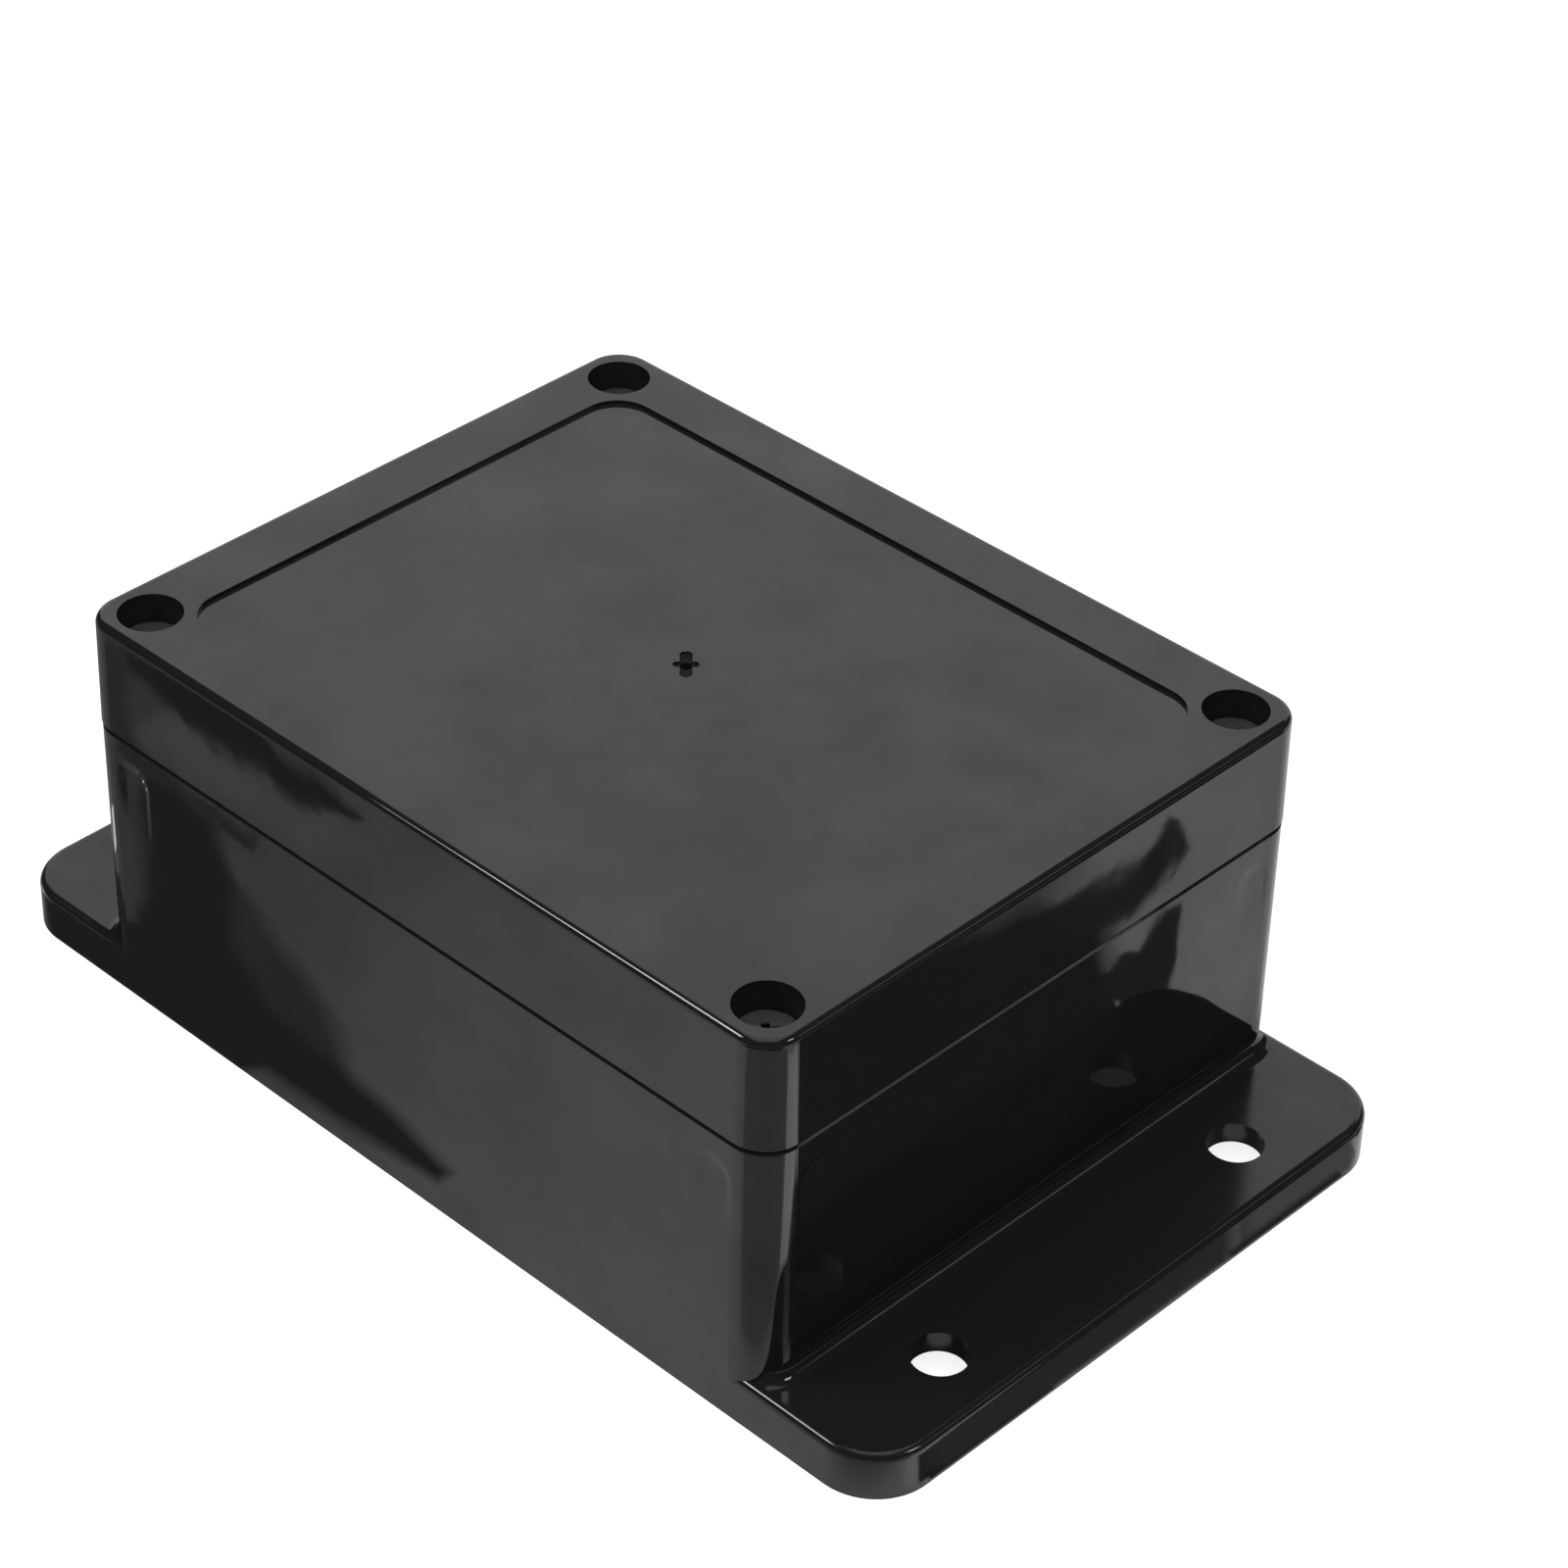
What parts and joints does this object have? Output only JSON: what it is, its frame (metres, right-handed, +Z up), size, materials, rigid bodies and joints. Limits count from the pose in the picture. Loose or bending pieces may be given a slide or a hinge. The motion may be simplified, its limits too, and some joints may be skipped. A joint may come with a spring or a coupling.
{
  "type": "junction box",
  "caption": "Black plastic junction box with a screwed, sealed lid and a mounting ear at each end, to house wiring or a small circuit board.",
  "frame": {"origin": "middle of the underside, on the surface that the box stands on", "axes": "+X along the long side, towards one mounting ear, +Y along the short side, +Z up, out of the lid"},
  "size_m": [0.151, 0.09, 0.055],
  "materials": {
    "case_plastic": "polished black moulded plastic",
    "seal_rubber": "soft black rubber strip",
    "screw_steel": "blackened steel"
  },
  "bodies": {
    "root": {"enclosure_base": "case_plastic", "lid": "case_plastic", "lid_seal": "seal_rubber", "lid_screw_front_left": "screw_steel", "lid_screw_front_right": "screw_steel", "lid_screw_back_left": "screw_steel", "lid_screw_back_right": "screw_steel"}
  },
  "joints": []
}
